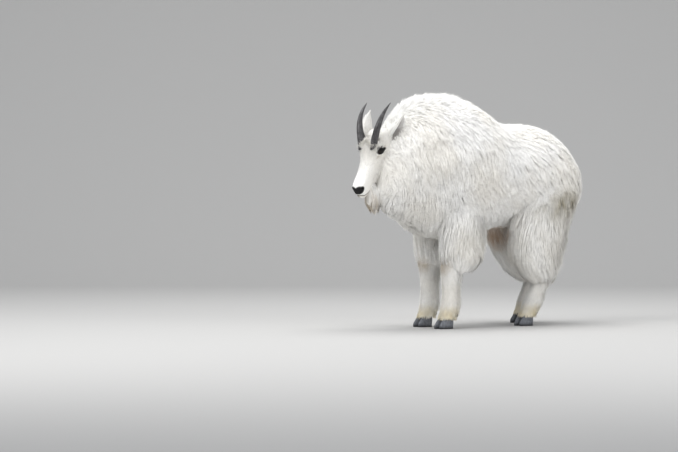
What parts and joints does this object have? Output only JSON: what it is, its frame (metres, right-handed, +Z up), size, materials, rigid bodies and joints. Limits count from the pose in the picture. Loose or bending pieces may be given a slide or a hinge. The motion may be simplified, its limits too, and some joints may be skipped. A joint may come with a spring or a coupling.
{
  "type": "mountain goat",
  "caption": "Life-size still model of a standing mountain goat in long white winter coat, head turned a little to its left, short black horns, cloven hooves flat on the floor.",
  "frame": {"origin": "on the floor, under the middle of the whole animal's bounding box", "axes": "+Z up; the goat faces -X, its left side is towards -Y"},
  "size_m": [1.3645, 0.5267, 1.089],
  "materials": {
    "coat": "long, soft, matt white winter hair",
    "horn": "dark, slightly polished horn",
    "eye": "wet, dark and glossy",
    "hoof": "dull grey-black horn"
  },
  "bodies": {
    "root": {"head": "coat", "beard": "coat", "ear_left": "coat", "ear_right": "coat", "neck": "coat", "shoulders": "coat", "barrel": "coat", "rump": "coat", "tail": "coat", "fore_left_upper": "coat", "fore_left_lower": "coat", "fore_left_claw_inner": "hoof", "fore_left_dewclaw_inner": "hoof", "fore_left_claw_outer": "hoof", "fore_left_dewclaw_outer": "hoof", "fore_right_upper": "coat", "fore_right_lower": "coat", "fore_right_claw_inner": "hoof", "fore_right_dewclaw_inner": "hoof", "fore_right_claw_outer": "hoof", "fore_right_dewclaw_outer": "hoof", "hind_left_upper": "coat", "hind_left_lower": "coat", "hind_left_claw_inner": "hoof", "hind_left_dewclaw_inner": "hoof", "hind_left_claw_outer": "hoof", "hind_left_dewclaw_outer": "hoof", "hind_right_upper": "coat", "hind_right_lower": "coat", "hind_right_claw_inner": "hoof", "hind_right_dewclaw_inner": "hoof", "hind_right_claw_outer": "hoof", "hind_right_dewclaw_outer": "hoof", "horn_left": "horn", "eye_left": "eye", "horn_right": "horn", "eye_right": "eye"}
  },
  "joints": []
}
